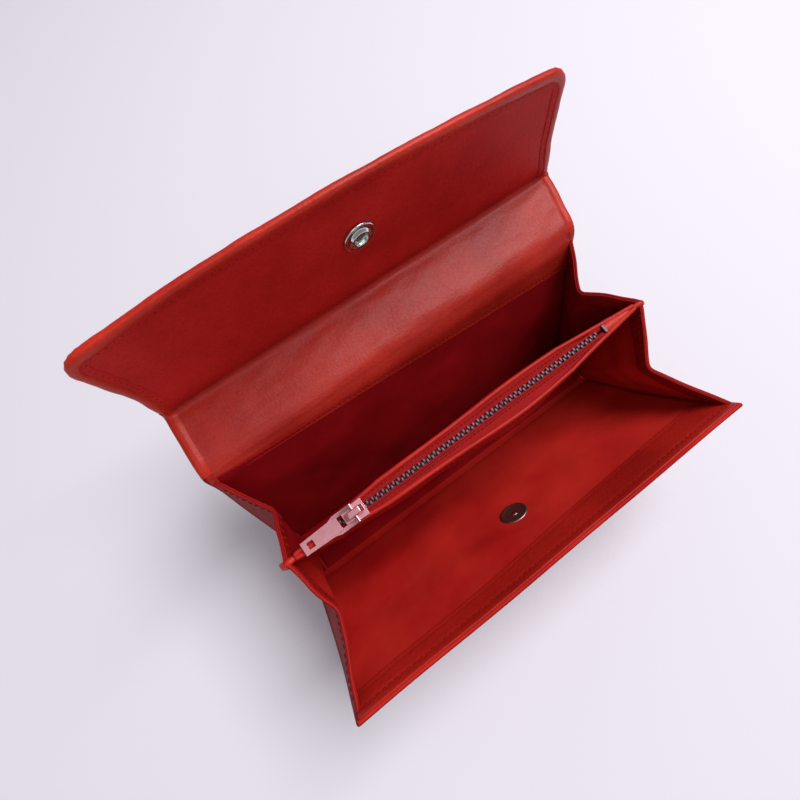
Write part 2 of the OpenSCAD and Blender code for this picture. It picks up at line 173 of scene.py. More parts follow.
def grid_normals(points, towards):
    """Unit normals of a grid of points, turned to the side that the towards vector points to."""
    n = unit(np.cross(np.gradient(points, axis=0), np.gradient(points, axis=1)))
    side = np.sign(np.sum(n * np.array(towards, float), axis=-1, keepdims=True).mean())
    return n * side


def grid_faces(rows, cols, offset=0, wrap=False):
    """Quads between neighbouring points of a grid; wrap joins the last column to the first."""
    i = np.arange(rows - 1)[:, None]
    j = np.arange(cols if wrap else cols - 1)[None, :]
    k = (j + 1) % cols
    a, b = i * cols + j, i * cols + k
    return offset + np.stack([a, b, b + cols, a + cols], -1).reshape(-1, 4)


class Piece:
    """Gathers the parts of one object; each part has its own finish."""

    def __init__(self, name):
        self.name, self.points, self.faces, self.finish, self.count = name, [], [], [], 0
        self.finishes = []

    def add(self, points, faces, finish):
        points = np.asarray(points, float).reshape(-1, 3)
        self.points.append(points)
        self.count += len(points)
        self.cover(self.count - len(points), faces, finish)

    def cover(self, first, faces, finish):
        """Faces between points that are already there, counted from the first one."""
        if finish not in self.finishes:
            self.finishes.append(finish)
        for f in faces:
            f = np.asarray(f)
            self.faces += (f + first).tolist()
            self.finish += [self.finishes.index(finish)] * len(f)

    def make(self, sharp=50):
        """Object in metres, with its normals facing outwards and smooth up to the sharp angle."""
        mesh = bpy.data.meshes.new(self.name)
        mesh.from_pydata((np.concatenate(self.points) / 1000).tolist(), [], self.faces)
        mesh.polygons.foreach_set("material_index", self.finish)
        for finish in self.finishes:
            mesh.materials.append(finish)
        work = bmesh.new()
        work.from_mesh(mesh)
        bmesh.ops.recalc_face_normals(work, faces=work.faces)
        work.to_mesh(mesh)
        work.free()
        mesh.shade_smooth()
        mesh.set_sharp_from_angle(angle=math.radians(sharp))
        piece = bpy.data.objects.new(self.name, mesh)
        bpy.context.scene.collection.objects.link(piece)
        return piece

    def sheet(self, mid, normal, half, inner, outer, round_start=False, round_end=False,
              edging=None, border=0):
        """Closed sheet: the middle surface (rows along, columns across) pushed both ways along its
        normal by the half thickness. Side edges are half circles; ends are flat or half circles.
        The edging covers the side edges and a border of that many columns on both faces."""
        half = np.broadcast_to(half, mid.shape[:2]).astype(float)
        arc = np.radians([28, 56, 80])
        for flag, first in ((round_start, True), (round_end, False)):
            if not flag:
                continue
            end, inside = (0, 1) if first else (-1, -2)
            out = unit(mid[end] - mid[inside])
            new_mid = [mid[end] + out * half[end][:, None] * math.sin(a) for a in arc]
            new_half = [half[end] * math.cos(a) for a in arc]
            if first:
                mid = np.concatenate([new_mid[::-1], mid])
                half = np.concatenate([new_half[::-1], half])
                normal = np.concatenate([[normal[0]] * 3, normal])
            else:
                mid = np.concatenate([mid, new_mid])
                half = np.concatenate([half, new_half])
                normal = np.concatenate([normal, [normal[-1]] * 3])
        rows, cols = half.shape
        h = half[..., None]
        rim = np.radians([-54, -18, 18, 54])[None, :, None]
        right = unit(mid[:, -1] - mid[:, -2])[:, None]
        left = unit(mid[:, 0] - mid[:, 1])[:, None]
        right_rim = mid[:, -1:] + h[:, -1:] * (right * np.cos(rim) + normal[:, -1:] * np.sin(rim))
        left_rim = mid[:, :1] + h[:, :1] * (left * np.cos(rim) - normal[:, :1] * np.sin(rim))
        ring = np.concatenate([mid - normal * h, right_rim, (mid + normal * h)[:, ::-1], left_rim], 1)
        size = ring.shape[1]
        quads = grid_faces(rows, size, wrap=True)
        column = np.tile(np.arange(size), rows - 1)
        on_inner = (column >= border) & (column < cols - 1 - border)
        on_outer = (column >= cols + 4 + border) & (column < 2 * cols + 3 - border)
        caps, ends = [], []
        for base in (0, (rows - 1) * size):
            i = np.arange(cols - 1)
            j = 2 * cols + 3 - i
            caps.append(base + np.stack([i, i + 1, j - 1, j], 1))
            ends.append(base + np.array([cols - 1 + k for k in range(6)]))
            ends.append(base + np.array([2 * cols + 3 + k if k < 5 else 0 for k in range(6)]))
        first = self.count
        self.add(ring, [quads[on_inner]], inner)
        self.cover(first, [quads[on_outer]], outer)
        self.cover(first, [quads[~on_inner & ~on_outer]] + caps + [np.array(ends)], edging or outer)

    def tube(self, path, side, up, outline, finish):
        """Profile carried along a path: every outline point (a, b) goes to path + a side + b up."""
        outline = np.asarray(outline, float)
        if outline.ndim == 2:
            outline = np.broadcast_to(outline, (len(path),) + outline.shape)
        ring = (path[:, None] + outline[..., :1] * side[:, None] + outline[..., 1:] * up[:, None])
        rows, size = ring.shape[:2]
        faces = [grid_faces(rows, size, wrap=True)]
        faces.append(np.array([np.arange(size), (rows - 1) * size + np.arange(size)]))
        self.add(ring, faces, finish)

    def lathe(self, profile, centre, axis, finish, steps=72):
        """Profile of (radius, height) points turned about an axis; both poles are on the axis."""
        axis = unit(np.array(axis, float))
        side = unit(np.cross(axis, X_AXIS + 0.01))
        other = np.cross(axis, side)
        t = np.linspace(0, 2 * math.pi, steps, endpoint=False)
        round_ = np.cos(t)[:, None] * side + np.sin(t)[:, None] * other
        profile = np.array(profile, float)
        body = profile[1:-1]
        ring = centre + body[:, None, :1] * round_[None] + body[:, None, 1:] * axis
        points = np.concatenate([ring.reshape(-1, 3), [centre + profile[0, 1] * axis],
                                 [centre + profile[-1, 1] * axis]])
        j = np.arange(steps)
        k = (j + 1) % steps
        last = (len(body) - 1) * steps
        first_fan = np.stack([j, k, np.full(steps, len(points) - 2)], 1)
        last_fan = np.stack([last + j, last + k, np.full(steps, len(points) - 1)], 1)
        self.add(points, [grid_faces(len(body), steps, wrap=True), first_fan, last_fan], finish)

    def stitches(self, places, tangent, normal, finish, length=2.2, radius=0.27):
        """Row of thread stitches: each is a small capsule along the tangent whose ends dip
        into the leather."""
        a = np.array([-0.5, -0.36, 0.0, 0.36, 0.5]) * length
        r = np.array([0.25, 0.85, 1.0, 0.85, 0.25]) * radius
        dip = np.array([-0.8, -0.25, 0.35, -0.25, -0.8]) * radius
        t = np.linspace(0, 2 * math.pi, 6, endpoint=False)
        shape = np.stack([np.repeat(a, 6), np.outer(r, np.cos(t)).ravel(),
                          (np.outer(r, np.sin(t)) + dip[:, None]).ravel()], 1)
        one = grid_faces(5, 6, wrap=True)
        ends = np.array([np.arange(6), 24 + np.arange(6)])
        sideways = np.cross(tangent, normal)
        frames = np.stack([tangent, sideways, normal], 1)
        points = places[:, None] + np.einsum("vk,nkd->nvd", shape, frames)
        steps = (np.arange(len(places)) * 30)[:, None, None]
        self.add(points, [(one[None] + steps).reshape(-1, 4), (ends[None] + steps).reshape(-1, 6)], finish)


def evenly(path, pitch, normal):
    """Places, tangents and normals a pitch apart along a path of points."""
    length = np.concatenate([[0], np.cumsum(np.linalg.norm(np.diff(path, axis=0), axis=1))])
    count = max(2, int(length[-1] / pitch))
    at = (np.arange(count) + 0.5) * length[-1] / count
    pick = lambda values, where: np.stack([np.interp(where, length, values[:, k]) for k in range(3)], 1)
    places = pick(path, at)
    tangent = unit(pick(path, at + 0.3) - pick(path, at - 0.3))
    up = pick(np.broadcast_to(normal, path.shape), at)
    up = unit(up - np.sum(up * tangent, -1, keepdims=True) * tangent)
    return places, tangent, up


# ---------------------------------------------------------------- finishes

class Value:
    """A shader value: expressions on values add their Math nodes."""

    def __init__(self, tree, socket):
        self.tree, self.socket = tree, socket

    def math(self, operation, *values):
        node = self.tree.nodes.new("ShaderNodeMath")
        node.operation = operation
        for number, value in enumerate(values):
            if isinstance(value, Value):
                self.tree.links.new(value.socket, node.inputs[number])
            else:
                node.inputs[number].default_value = value
        return Value(self.tree, node.outputs[0])

    def __add__(self, other):
        return self.math("ADD", self, other)

    __radd__ = __add__

    def __sub__(self, other):
        return self.math("SUBTRACT", self, other)

    def __rsub__(self, other):
        return self.math("SUBTRACT", other, self)

    def __mul__(self, other):
        return self.math("MULTIPLY", self, other)

    __rmul__ = __mul__

    def clamp(self):
        return self.math("MAXIMUM", self.math("MINIMUM", self, 1.0), 0.0)


class Finish:
    """One procedural finish on object coordinates."""

    def __init__(self, name):
        self.material = bpy.data.materials.new(name)
        self.material.use_nodes = True
        self.tree = self.material.node_tree
        self.shader = self.tree.nodes["Principled BSDF"]
        self.place = self.node("ShaderNodeTexCoord", out="Object")

    def node(self, kind, settings=None, inputs=None, out=0):
        made = self.tree.nodes.new(kind)
        for key, value in (settings or {}).items():
            setattr(made, key, value)
        for key, value in (inputs or {}).items():
            if isinstance(value, Value):
                self.tree.links.new(value.socket, made.inputs[key])
            else:
                made.inputs[key].default_value = value
        return Value(self.tree, made.outputs[out])

    def noise(self, scale, detail=3.0, rough=0.55, stretch=None, distortion=0.0):
        place = self.place
        if stretch:
            place = self.node("ShaderNodeMapping", None, {"Vector": place, "Scale": stretch})
        return self.node("ShaderNodeTexNoise", None, {
            "Vector": place, "Scale": scale, "Detail": detail, "Roughness": rough,
            "Distortion": distortion})

    def cells(self, scale, feature="F1"):
        return self.node("ShaderNodeTexVoronoi", {"feature": feature},
                         {"Vector": self.place, "Scale": scale}, "Distance")

    def mix(self, factor, a, b):
        """Colour between a and b."""
        made = self.tree.nodes.new("ShaderNodeMix")
        made.data_type = "RGBA"
        for socket, value in ((made.inputs[0], factor), (made.inputs[6], a), (made.inputs[7], b)):
            if isinstance(value, Value):
                self.tree.links.new(value.socket, socket)
            elif isinstance(value, tuple):
                socket.default_value = value + (1.0,)
            else:
                socket.default_value = value
        return Value(self.tree, made.outputs[2])

    def relief(self, height, strength, distance):
        """Bump from a height, in metres at full strength."""
        return self.node("ShaderNodeBump", None, {
            "Height": height, "Strength": strength, "Distance": distance})

    def set(self, **values):
        for key, value in values.items():
            socket = self.shader.inputs[key.replace("_", " ")]
            if isinstance(value, Value):
                self.tree.links.new(value.socket, socket)
            elif isinstance(value, tuple):
                socket.default_value = value + (1.0,)
            else:
                socket.default_value = value
        return self.material


def leather(name, deep, light, shine, grain=1.0, wrinkle=0.0, coat=0.05, painted_highlight=None, gloss=0.25):
    """Dyed leather: fine pebble grain with pores, slow shade changes and, given a highlight colour, long
    pale streaks of painted highlight.
    """
    f = Finish(name)
    patches = f.noise(26.0, 4.0, 0.6)
    fine = f.noise(850.0, 2.0, 0.5)
    pebble = f.cells(1150.0, "SMOOTH_F1")
    pore = f.cells(420.0)
    colour = f.mix(((patches - 0.36) * 3.2).clamp(), deep, light)
    colour = f.mix((pebble * 0.9).clamp() * 0.45, colour, tuple(c * 0.45 for c in deep))
    height = pebble * (-0.7 * grain) + fine * (0.5 * grain) + pore * (0.25 * grain)
    rough = fine * 0.16 + (shine - 0.08) + patches * 0.08
    if wrinkle:
        creases = f.noise(150.0, 5.0, 0.6, (0.16, 1.0, 1.0), 0.5)
        height = height + creases * (1.4 * wrinkle)
        if painted_highlight:
            # Long pale streaks mixed into the colour: painted highlight on the band's satin wrinkles.
            highlight_streaks = ((f.noise(70.0, 6.0, 0.72, (0.14, 1.0, 1.0), 0.3) - 0.52) * 3.5).clamp()
            colour = f.mix(highlight_streaks * 0.22, colour, painted_highlight)
            rough = rough + highlight_streaks * 0.05
    return f.set(Base_Color=colour, Roughness=rough, Normal=f.relief(height, 0.55, 0.00022),
                 Coat_Weight=coat, Coat_Roughness=0.35, Specular_IOR_Level=gloss)


def fabric(name, deep, light, thread_pitch, sheen=0.35):
    """Close lining cloth: crossed threads, slow shade changes and a soft nap."""
    f = Finish(name)
    scale = 2 * math.pi / 20 / thread_pitch * 1000
    warp = f.node("ShaderNodeTexWave", {"bands_direction": "X"},
                  {"Vector": f.place, "Scale": scale, "Distortion": 1.2, "Detail Scale": 2.0})
    weft = f.node("ShaderNodeTexWave", {"bands_direction": "Z"},
                  {"Vector": f.place, "Scale": scale, "Distortion": 1.2, "Detail Scale": 2.0})
    threads = f.node("ShaderNodeSeparateColor", None, {"Color": warp}) * 0.5 + \
        f.node("ShaderNodeSeparateColor", None, {"Color": weft}) * 0.5
    patches = f.noise(22.0, 4.0, 0.6)
    nap = f.noise(1400.0, 2.0, 0.6)
    colour = f.mix(((patches - 0.38) * 3.4).clamp(), deep, light)
    colour = f.mix(threads * 0.25, colour, tuple(c * 0.5 for c in deep))
    return f.set(Base_Color=colour, Roughness=nap * 0.1 + 0.82,
                 Normal=f.relief(threads * 0.6 + nap * 0.5, 0.5, 0.00018),
                 Sheen_Weight=sheen, Sheen_Roughness=0.4, Sheen_Tint=light,
                 Specular_IOR_Level=0.06)


def woven_tape(name, deep, light):
    """Zip tape: ribs across its length with a finer twill between them."""
    f = Finish(name)
    ribs = f.node("ShaderNodeTexWave", {"bands_direction": "X", "wave_profile": "SIN"},
                  {"Vector": f.place, "Scale": 2 * math.pi / 20 / 0.75 * 1000, "Distortion": 0.6})
    fine = f.node("ShaderNodeTexWave", {"bands_direction": "DIAGONAL"},
                  {"Vector": f.place, "Scale": 2 * math.pi / 20 / 0.34 * 1000, "Distortion": 0.8})
    height = f.node("ShaderNodeSeparateColor", None, {"Color": ribs}) * 0.8 + \
        f.node("ShaderNodeSeparateColor", None, {"Color": fine}) * 0.3
    patches = f.noise(60.0, 3.0, 0.6)
    colour = f.mix((height * 0.7 + patches * 0.5 - 0.2).clamp(), deep, light)
    return f.set(Base_Color=colour, Roughness=0.8, Normal=f.relief(height, 0.7, 0.0003),
                 Specular_IOR_Level=0.1, Sheen_Weight=0.04, Sheen_Roughness=0.5)


def metal(name, colour, worn, roughness, scratch=1.0):
    """Plated metal with a brushed and slightly worn surface."""
    f = Finish(name)
    brushed = f.noise(900.0, 3.0, 0.6, (0.12, 1.0, 1.0))
    marks = ((f.noise(240.0, 4.0, 0.65) - 0.5) * 3.0).clamp()
    return f.set(Base_Color=f.mix(marks * 0.5, colour, worn), Metallic=1.0,
                 Roughness=brushed * 0.14 + marks * 0.1 + (roughness - 0.07),
                 Normal=f.relief(brushed, 0.12 * scratch, 0.0001))


OUTER = leather("outer_leather", (0.20, 0.004, 0.004), (0.34, 0.009, 0.006), 0.60, 1.0, gloss=0.08)
INNER = leather("flap_inner_leather", (0.47, 0.012, 0.011), (0.64, 0.023, 0.018), 0.52, 0.8,
                coat=0.0, gloss=0.08)
# The band's pale colour is a painted highlight, mixed in as long streaks.
BAND = leather("band_leather", (0.35, 0.012, 0.007), (0.50, 0.024, 0.013), 0.40, 0.7, 1.0, 0.03,
               (0.62, 0.14, 0.12), 0.26)
EDGE = leather("edge_leather", (0.46, 0.014, 0.005), (0.62, 0.026, 0.009), 0.42, 0.9, 0.25, 0.08)
HEM = leather("hem_leather", (0.34, 0.008, 0.005), (0.50, 0.015, 0.008), 0.50, 0.8, 0.4)
GUSSET = leather("gusset_leather", (0.24, 0.006, 0.005), (0.36, 0.010, 0.008), 0.60, 0.9, 0.3, gloss=0.08)
WALL = leather("pocket_leather", (0.38, 0.010, 0.007), (0.56, 0.020, 0.012), 0.45, 0.8, 0.3)
LINING = fabric("lining_cloth", (0.46, 0.011, 0.010), (0.62, 0.028, 0.019), 0.42, 0.02)
# A darker copy of the lining cloth: painted shade for the back compartment, its base and the back halves of
# the gussets.
SHADED_LINING = fabric("back_lining_shaded_cloth", (0.25, 0.003, 0.006), (0.37, 0.006, 0.010), 0.42, 0.02)
TAPE = woven_tape("zip_tape_cloth", (0.24, 0.005, 0.007), (0.50, 0.018, 0.016))
THREAD = fabric("thread", (0.20, 0.004, 0.004), (0.34, 0.010, 0.008), 0.3, 0.02)
TEETH = metal("tooth_metal", (0.13, 0.08, 0.10), (0.05, 0.03, 0.035), 0.5)
SLIDER = metal("slider_metal", (0.72, 0.33, 0.37), (0.45, 0.15, 0.18), 0.28)
SNAP = metal("snap_metal", (0.62, 0.80, 0.74), (0.30, 0.50, 0.43), 0.18)
SNAP_DARK = metal("rivet_metal", (0.30, 0.25, 0.22), (0.14, 0.09, 0.08), 0.42)


# ---------------------------------------------------------------- shell

SHELL_CORNERS = np.array([front.at(0, 0, FRONT_H), FRONT_FOLD, BACK_FOLD, STRIP_FOLD, BAND_FOLD, CREASE,
                          flap.at(0, 0, FLAP_L)])
corner_gaps = np.linalg.norm(np.diff(SHELL_CORNERS[:, 1:], axis=0), axis=1)
SHELL_BREAKS = np.concatenate([[0], np.cumsum(corner_gaps)])
S_FRONT, S_BACK, S_STRIP, S_BAND, S_CREASE, S_TIP = SHELL_BREAKS[1:]
dense = np.linspace(0, S_TIP, 2400)
radius_at = np.interp(dense, [0, S_BACK + 20, S_STRIP - 12, S_STRIP, S_CREASE - 8, S_CREASE, S_CREASE + 8],
                      [3.5, 3.5, 4.5, 4.5, 4.0, 3.0, 3.0])
dense_path = np.array(rounded_weights(SHELL_BREAKS, dense, radius_at)) @ SHELL_CORNERS[:, 1:]
dense_tangent = unit(np.gradient(dense_path, axis=0))
dense_normal = np.stack([dense_tangent[:, 1], -dense_tangent[:, 0]], 1)


def shell_wave(x, s):
    """How far the shell stands out from its straight path: the front's belly, a slow waviness of
    the flap, and long wrinkles of the band, all calm near the snap."""
    up = S_FRONT - s
    belly = np.where(up > 0, FRONT_BELLY * np.sin(np.pi * np.clip(up / FRONT_H, 0, 1)), 0)
    calm = (1 - bump(np.hypot(x, s - S_CREASE - SNAP_FLAP), 0, 12)
            - bump(np.hypot(x, up - SNAP_FRONT), 0, 12))
    panels = smooth(up, 6, 30) + smooth(s - S_BACK, 6, 30) * (1 - smooth(s, S_STRIP - 12, S_STRIP - 2))
    on_flap = smooth(s, S_CREASE + 2, S_CREASE + 20)
    on_band = smooth(s, S_STRIP, S_STRIP + 5) * (1 - smooth(s, S_CREASE - 6, S_CREASE))
    wave = panels * 0.3 * ripple(x, s, 3, 70) + on_flap * (0.4 * ripple(x, s, 4, 80) + 0.35)
    wave = wave + on_band * (0.22 * ripple(x * 0.35, s, 5, 18) + 0.07 * ripple(x * 0.5, s, 6, 7))
    hollow = on_flap * 0.9 * np.sin(np.pi * np.clip((s - S_CREASE) / FLAP_L, 0, 1))
    return belly + calm * (wave + hollow) + 0.5 * bump(s, S_CREASE, 5)


def skew_x(u, s):
    """Place along the width at share u (-1 to 1): the crease is a little wider than the body, and
    the flap has slipped to the left towards its tip."""
    centre = np.interp(s, [S_STRIP, S_CREASE, S_TIP], [0, CREASE_SLIP, TIP_SLIP])
    half = np.interp(s, [0, S_FRONT, S_STRIP - 10, S_CREASE, S_CREASE + 14, S_TIP],
                     [HALF_W, HALF_W - 0.6, HALF_W, HALF_W + 2.2, HALF_W, HALF_W])
    return centre + u * (half - HALF_T)


def shell_at(x, s, off=0.0):
    """Point of the shell at width x and length s, pushed outwards by off."""
    x, s, off = np.broadcast_arrays(x, s, off)
    push = shell_wave(x, s) + off
    y = np.interp(s, dense, dense_path[:, 0]) + push * np.interp(s, dense, dense_normal[:, 0])
    z = np.interp(s, dense, dense_path[:, 1]) + push * np.interp(s, dense, dense_normal[:, 1])
    return np.stack([x, y, z], -1)


def shell_normal(x, s):
    x, s = np.broadcast_arrays(x, s)
    d = 0.05
    a = shell_at(x + d, s) - shell_at(x - d, s)
    b = shell_at(x, s + d) - shell_at(x, s - d)
    return unit(np.cross(b, a))


def outward(x, s):
    """Shell normal on the side away from the compartments."""
    n = shell_normal(x, s)
    s = np.broadcast_to(s, n.shape[:-1])
    flat = np.stack([0 * s, np.interp(s, dense, dense_normal[:, 0]),
                     np.interp(s, dense, dense_normal[:, 1])], -1)
    return n * np.sign(np.sum(n * flat, -1, keepdims=True))


NEAR_EDGE = np.array([0.004, 0.009, 0.014, 0.02, 0.026, 0.032, 0.038, 0.045])
U = np.concatenate([[-1], NEAR_EDGE - 1, np.linspace(-0.944, 0.944, 119), 1 - NEAR_EDGE[::-1], [1]])


def edge_bead(x_in, s):
    """Half thickness near a side edge: the turned edge along the band swells to a bead."""
    on = smooth(s, S_STRIP - 5, S_STRIP + 3)
    return HALF_T + on * 0.75 * bump(np.clip(x_in, 1.4, None), 1.4, 1.1)


def shell_skin(piece, s0, s1, inner, outer, step=1.4, **ends):
    """Leather of the shell between two lengths."""
    s = lines(s0, s1, step)[:, None]
    x = skew_x(U[None, :], s)
    half = edge_bead((1 - np.abs(U[None, :])) * HALF_W, s)
    piece.sheet(shell_at(x, s), outward(x, s), half, inner, outer, **ends)


def edge_row(piece, s0, s1, u, face, pitch=2.9, inset=2.6):
    """Stitches along the side edge of a panel, on its outer face (1) or inner face (-1)."""
    s = np.linspace(s0, s1, 60)
    x = skew_x(np.full_like(s, u), s) - np.sign(u) * inset
    n = outward(x, s) * face
    piece.stitches(*evenly(shell_at(x, s) + n * (HALF_T + 0.08), pitch, n), THREAD)


MID_BASE = (S_FRONT + S_BACK) / 2
BACK_SPLIT = S_BACK + 45
STRIP_SPLIT = (S_STRIP + S_BAND) / 2
BAND_SPLIT = S_BAND + 10
BEND = S_BAND + np.linalg.norm(joint_place("band_bend") - BAND_FOLD)
FRONT_SPLIT = (BEND + S_CREASE) / 2


piece = Piece("front_panel_leather")
shell_skin(piece, HALF_T, MID_BASE, LINING, OUTER, round_start=True)
for u in (-1, 1):
    edge_row(piece, 3, S_FRONT - 8, u, 1)
piece = piece.make()
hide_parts("shell_front")
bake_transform(piece)

piece = Piece("back_panel_leather")
# The back panel's inner face takes the darker lining copy: painted shade.
shell_skin(piece, MID_BASE, BACK_SPLIT, SHADED_LINING, OUTER)
for u in (-1, 1):
    edge_row(piece, S_BACK + 8, BACK_SPLIT - 1, u, 1)
piece = piece.make()
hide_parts("shell_base", "shell_back")
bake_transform(piece)


def back_facing_low(x):
    """Lower edge of the back's leather facing, deeper towards the right."""
    return S_STRIP - (9.5 + 7.5 * x / HALF_W + 0.4 * np.sin(x / 16))


piece = Piece("top_fold_leather")
shell_skin(piece, BACK_SPLIT, STRIP_SPLIT, BAND, OUTER)
x = lines(-HALF_W + 2.6, HALF_W - 2.6, 1.5)[None, :]
s = back_facing_low(x) + np.linspace(0, 1, 34)[:, None] * (STRIP_SPLIT - back_facing_low(x))
x = np.broadcast_to(x, s.shape)
sink = 0.86 * smooth(s, S_STRIP - 6, STRIP_SPLIT) + 0.15 * bump(s, back_facing_low(x) + 1.8, 0.8)
piece.sheet(shell_at(x, s, -HALF_T - 0.38 + sink), outward(x, s), 0.36, BAND, BAND, round_start=True)
xs = np.linspace(-HALF_W + 4, HALF_W - 4, 200)
ss = back_facing_low(xs) + 1.8
n = -outward(xs, ss)
piece.stitches(*evenly(shell_at(xs, ss) + n * (HALF_T + 0.62), 2.4, n), THREAD, 1.9, 0.22)
for u in (-1, 1):
    edge_row(piece, BACK_SPLIT + 1, S_STRIP - 5, u, 1)
piece = piece.make()
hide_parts("fold_strip", "fold_strip_lining", "back_facing")
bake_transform(piece)

piece = Piece("band_rear_leather")
shell_skin(piece, STRIP_SPLIT, BAND_SPLIT, BAND, OUTER, 0.9, edging=EDGE, border=6)
piece = piece.make()
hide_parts("band_rear", "band_rear_lining")
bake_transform(piece)

piece = Piece("band_front_leather")
shell_skin(piece, BAND_SPLIT, FRONT_SPLIT, BAND, OUTER, 0.9, edging=EDGE, border=6)
piece = piece.make()
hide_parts("band_front", "band_front_lining")
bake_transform(piece)


def flap_edge_s(x, inset, corner):
    """Length of the flap at width x (from the flap's own centre line): a shallow bow with round corners."""
    bow = (HALF_W ** 2 + FLAP_BOW ** 2) / (2 * FLAP_BOW)
    past = np.clip(np.abs(x) - (HALF_W - inset - corner), 0, corner)
    return FLAP_L - inset - x ** 2 / (2 * bow) - (corner - np.sqrt(corner ** 2 - past ** 2 + 1e-9))


def flap_grid(s0, inset, corner):
    """Widths and lengths of a sheet in the flap's outline, inset from its edge."""
    v = np.concatenate([np.linspace(0, 0.9, 44, endpoint=False), np.linspace(0.9, 1, 12)])[:, None]
    w = HALF_W - inset
    u = U[None, :] * w
    s_end = S_CREASE + flap_edge_s(u, inset, corner)
    s = s0 + v * (s_end - s0)
    return u, s


def flap_x(u, s):
    """Width with the flap's slip to the left; the sides run into the wider crease."""
    widen = 1 + 0.022 * (1 - smooth(s, S_CREASE, S_CREASE + 24))
    return u * widen + np.interp(s, [S_STRIP, S_CREASE, S_TIP], [0, CREASE_SLIP, TIP_SLIP])


piece = Piece("flap_leather_sheet")
shell_skin(piece, FRONT_SPLIT, S_CREASE + 4, BAND, OUTER, 0.5, edging=EDGE, border=6)
u, s = flap_grid(S_CREASE + 4, EDGE_INSET, 5)
u = np.broadcast_to(u, s.shape)
blend_w = smooth(s, S_CREASE + 4, S_CREASE + 9)
x = skew_x(np.broadcast_to(U[None, :], s.shape), s) * (1 - blend_w) + flap_x(u, s) * blend_w
piece.sheet(shell_at(x, s), outward(x, s), HALF_T, INNER, OUTER)
piece = piece.make()
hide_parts("flap_leather", "flap_lining")
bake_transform(piece)


def flap_outline(inset, corner, s_low):
    """Widths and lengths along the flap's edge: up the left side, over the bowed edge, down the right."""
    w = HALF_W - inset
    turn = np.radians(np.linspace(0, 90, 12))
    top = S_CREASE + flap_edge_s(np.array([w - corner]), inset, corner)[0] - corner
    left_x = np.concatenate([np.full(40, -w), -(w - corner) - corner * np.cos(turn)])
    left_s = np.concatenate([np.linspace(s_low, top, 40, endpoint=False), top + corner * np.sin(turn)])
    mid_x = np.linspace(-(w - corner), w - corner, 140)[1:-1]
    mid_s = S_CREASE + flap_edge_s(mid_x, inset, corner)
    u = np.concatenate([left_x, mid_x, -left_x[::-1]])
    s = np.concatenate([left_s, mid_s, left_s[::-1]])
    return flap_x(u, s), s


def superellipse(a, b, power, count, flat=0.0):
    """Closed outline |x/a|^p + |y/b|^p = 1, cut flat below -b + flat."""
    t = np.linspace(0, 2 * math.pi, count, endpoint=False)
    c, s_ = np.cos(t), np.sin(t)
    x = a * np.sign(c) * np.abs(c) ** (2 / power)
    y = b * np.sign(s_) * np.abs(s_) ** (2 / power)
    return np.stack([x, np.maximum(y, -b + flat)], 1)


piece = Piece("flap_rolled_edge")
x, s = flap_outline(EDGE_INSET, EDGE_CORNER, S_CREASE + 0.6)
path = shell_at(x, s)
n = outward(x, s)
tangent = unit(np.gradient(path, axis=0))
side = np.cross(tangent, n)
run = np.concatenate([[0], np.cumsum(np.linalg.norm(np.diff(path, axis=0), axis=1))])
swell = 1 + 0.05 * ripple(run, 0 * run, 11, 22) + 0.03 * ripple(run, 0 * run, 12, 6)
for c in (run[46], run[-47]):
    swell = swell + 0.05 * bump(run, c, 5) * np.cos((run - c) * 3.0)
taper = smooth(run, 0, 6) * smooth(run[-1] - run, 0, 6) * 0.15 + 0.85
outline = superellipse(1.95, 1.55, 2.5, 22)[None] * (swell * taper)[:, None, None]
piece.tube(path - n * 0.1, side, n, outline, EDGE)
sx, ss = flap_outline(FLAP_STITCH_INSET, 5, S_CREASE + 5)
sn = -outward(sx, ss)
piece.stitches(*evenly(shell_at(sx, ss) + sn * (HALF_T + 0.05), 2.7, sn), THREAD)
piece.stitches(*evenly(shell_at(sx, ss) - sn * (HALF_T + 0.05), 2.7, -sn), THREAD)
piece = piece.make()
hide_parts("flap_edge")
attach(piece, "flap")

# The inner leather's turned border just inside the rolled edge
piece = Piece("flap_inner_border")
x, s = flap_outline(4.3, 5, S_CREASE + 3)
n = -outward(x, s)
path = shell_at(x, s) + n * (HALF_T - 0.12)
tangent = unit(np.gradient(path, axis=0))
side = np.cross(tangent, n)
piece.tube(path, side, n, superellipse(1.75, 0.42, 3, 14), INNER)
piece = piece.make()
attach(piece, "flap")


# ---------------------------------------------------------------- linings and facings

def panel_sheet(piece, s_low, s_high, half_w, off, half, finish, seed, wrinkle, step=1.6):
    """Sheet on the compartment side of the shell. s_low and s_high may be functions of x; the sheet's
    own soft wrinkles only stand inwards."""
    x = lines(-half_w, half_w, step)[None, :]
    v = np.linspace(0, 1, 64)[:, None]
    low = s_low(x) if callable(s_low) else s_low
    high = s_high(x) if callable(s_high) else s_high
    s = low + v * (high - low)
    x = np.broadcast_to(x, s.shape)
    fade = smooth(v, 0.05, 0.3) * smooth(1 - v, 0.08, 0.3)
    lift = wrinkle * fade * (0.5 + 0.5 * np.clip(ripple(x, s, seed, 38), -1, 1))
    calm = 1 - bump(np.hypot(x, S_FRONT - s - SNAP_FRONT), 0, 11)
    mid = shell_at(x, s, -off - lift * calm)
    piece.sheet(mid, outward(x, s), half, finish, finish, round_start=True, round_end=True)
    return mid


def hem_low(x):
    """Lower edge of the front's leather facing, deeper towards the right."""
    return 15 + 4 * x / HALF_W + 0.5 * np.sin(x / 19)


piece = Piece("front_lining_cloth")
panel_sheet(piece, lambda x: hem_low(x) - 2, S_FRONT - 4, HALF_W - 3.6, HALF_T + 0.3, 0.25, LINING, 21, 1.3)
piece = piece.make()
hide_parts("front_lining")
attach(piece, "front_panel")

